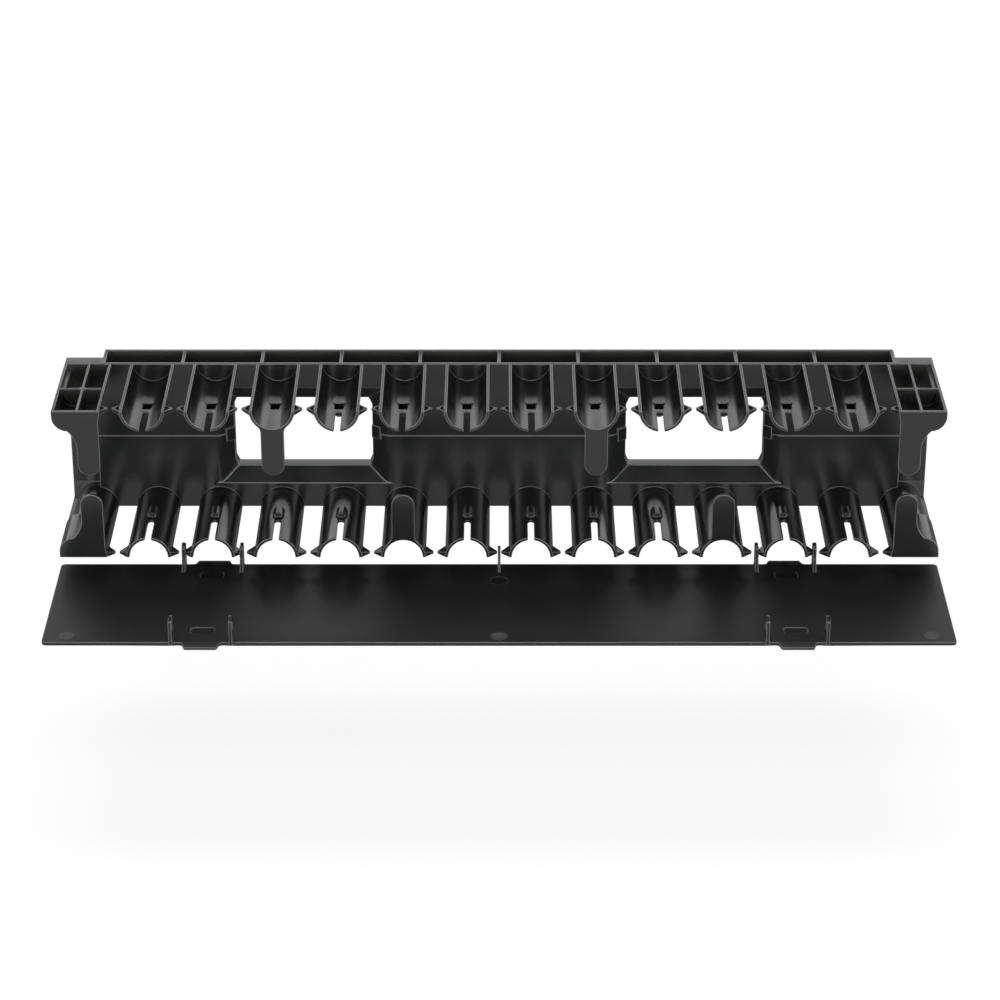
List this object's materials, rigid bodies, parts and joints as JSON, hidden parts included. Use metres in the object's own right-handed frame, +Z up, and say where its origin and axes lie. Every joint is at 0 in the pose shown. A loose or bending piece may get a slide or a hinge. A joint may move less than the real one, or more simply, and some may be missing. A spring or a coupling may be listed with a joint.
{
  "type": "horizontal cable manager",
  "caption": "Front-mounted rack panel with two rows of half-pipe cord fingers, pass-through windows and a flat clip-on hinged cover.",
  "frame": {"origin": "centre of the rack-mounting plane, on the rear face of the two ears, at mid-height and mid-width", "axes": "+X to the right seen from the front, +Y to the rear (into the rack), +Z up"},
  "size_m": [0.4834, 0.1735, 0.0978],
  "materials": {
    "base_plastic": "satin black, fine moulded texture",
    "cover_plastic": "satin black, smooth with a faint grain"
  },
  "bodies": {
    "base": {"base_upper": "base_plastic", "base_lower": "base_plastic"},
    "cover": {"cover": "cover_plastic"}
  },
  "joints": [
    {"name": "cover_hinge", "type": "hinge", "parent": "base", "child": "cover", "pos_m": [0, -0.06827, -0.04327], "axis": [1, 0, 0], "range_deg": [-90, 45]}
  ]
}
